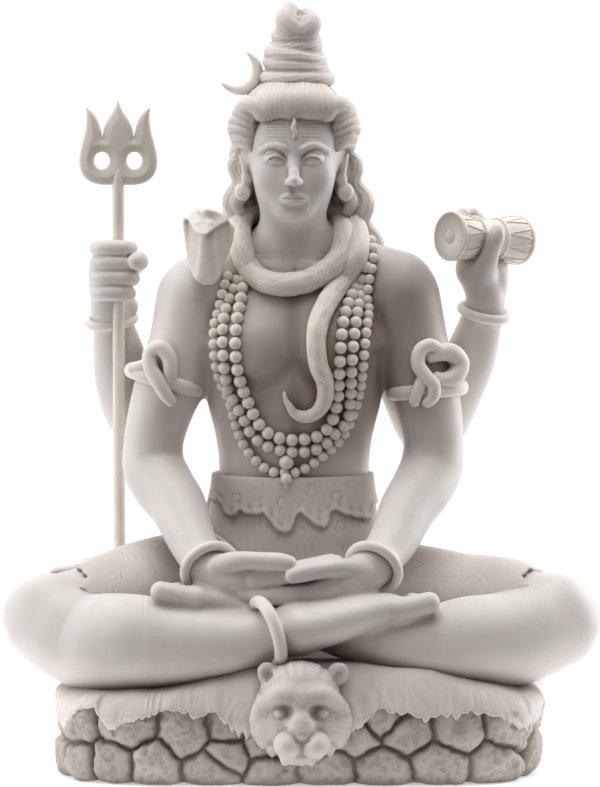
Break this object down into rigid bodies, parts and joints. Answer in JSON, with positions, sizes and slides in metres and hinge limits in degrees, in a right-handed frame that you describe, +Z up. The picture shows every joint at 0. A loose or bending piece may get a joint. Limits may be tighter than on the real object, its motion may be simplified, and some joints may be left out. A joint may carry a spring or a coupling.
{
  "type": "seated shiva figure with trident",
  "caption": "Seated many-armed shiva figure on a tiger-skin covered rock, cast in white resin, with a loose trident standing in the raised right fist.",
  "frame": {"origin": "middle of the rock's width on the flat underside, under the figure", "axes": "+Z up, the figure faces -Y, +X is the viewer's right"},
  "size_m": [0.1948, 0.1305, 0.2506],
  "materials": {
    "resin": "cold-cast white marble resin, satin, with a thin grey-brown wash left in the carving",
    "trident_resin": "the same white resin, plain and slightly warmer"
  },
  "bodies": {
    "root": {"seated_figure": "resin", "trident": "trident_resin"}
  },
  "joints": []
}
